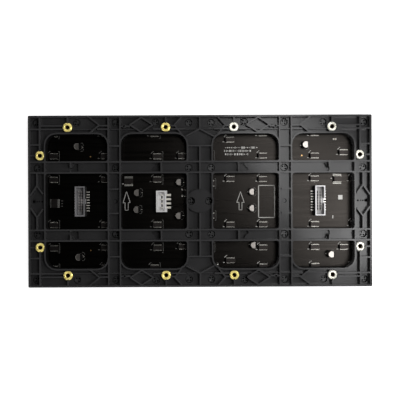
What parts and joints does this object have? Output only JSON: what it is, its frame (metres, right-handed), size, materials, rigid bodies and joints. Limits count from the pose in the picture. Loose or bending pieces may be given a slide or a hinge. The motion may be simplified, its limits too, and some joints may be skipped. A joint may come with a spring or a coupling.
{
  "type": "indoor led display module",
  "caption": "Flat indoor LED display module seen from its back: a ribbed plastic frame with windows over a dark lamp board, with threaded inserts, data headers and a power header.",
  "frame": {"origin": "middle of the footprint, on the surface that the lamp face lies on", "axes": "+X along the long side, +Y along the short side, +Z out of the back of the module"},
  "size_m": [0.32, 0.16, 0.015],
  "materials": {
    "frame_plastic": "fine moulded grain",
    "board": "satin solder resist over glass laminate",
    "mask_plastic": "deep matte",
    "insert_brass": "machined, slightly satin",
    "screw_black": "black coated steel",
    "nut_metal": "tinned",
    "header_grey": "grey moulded",
    "header_white": "white moulded",
    "pin_metal": "plated",
    "can_metal": "drawn can, satin",
    "ceramic_body": "fired, matte",
    "chip_body": "moulded epoxy"
  },
  "bodies": {
    "root": {"board_nuts": "nut_metal", "buffer_left": "chip_body", "buffer_middle": "chip_body", "buffer_right": "chip_body", "capacitor_1": "can_metal", "capacitor_10": "can_metal", "capacitor_11": "can_metal", "capacitor_2": "can_metal", "capacitor_3": "can_metal", "capacitor_4": "can_metal", "capacitor_5": "can_metal", "capacitor_6": "can_metal", "capacitor_7": "can_metal", "capacitor_8": "can_metal", "capacitor_9": "can_metal", "case_screws": "screw_black", "data_housing_left": "header_grey", "data_housing_right": "header_grey", "data_pins_left": "pin_metal", "data_pins_right": "pin_metal", "driver_chips_1": "chip_body", "driver_chips_2": "chip_body", "driver_chips_3": "chip_body", "driver_chips_4": "chip_body", "driver_chips_5": "chip_body", "driver_chips_6": "chip_body", "driver_chips_7": "chip_body", "frame": "frame_plastic", "front_mask": "mask_plastic", "inserts_end": "insert_brass", "inserts_middle": "insert_brass", "inserts_side": "insert_brass", "lamp_board": "board", "power_housing": "header_white", "power_pins": "pin_metal", "row_chips": "chip_body", "small_part": "ceramic_body"}
  },
  "joints": []
}
